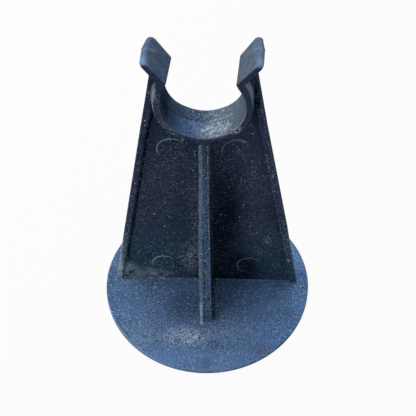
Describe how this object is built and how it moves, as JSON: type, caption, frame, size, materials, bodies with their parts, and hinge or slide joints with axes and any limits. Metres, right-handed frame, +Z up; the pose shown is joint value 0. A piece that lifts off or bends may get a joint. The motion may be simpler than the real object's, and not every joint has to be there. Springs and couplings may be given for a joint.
{
  "type": "rebar chair",
  "caption": "Upright plastic bar support: round foot, tapering flanged web with a gusset rib, and an open snap saddle with flared ears.",
  "frame": {"origin": "centre of the foot's underside, where the chair meets the formwork", "axes": "+Z up from the ground to the bar, +Y along the bar that the saddle holds, +X across the web towards one of the flanges"},
  "size_m": [0.076, 0.076, 0.0988],
  "materials": {
    "plastic": "matte"
  },
  "bodies": {
    "root": {"chair": "plastic"}
  },
  "joints": []
}
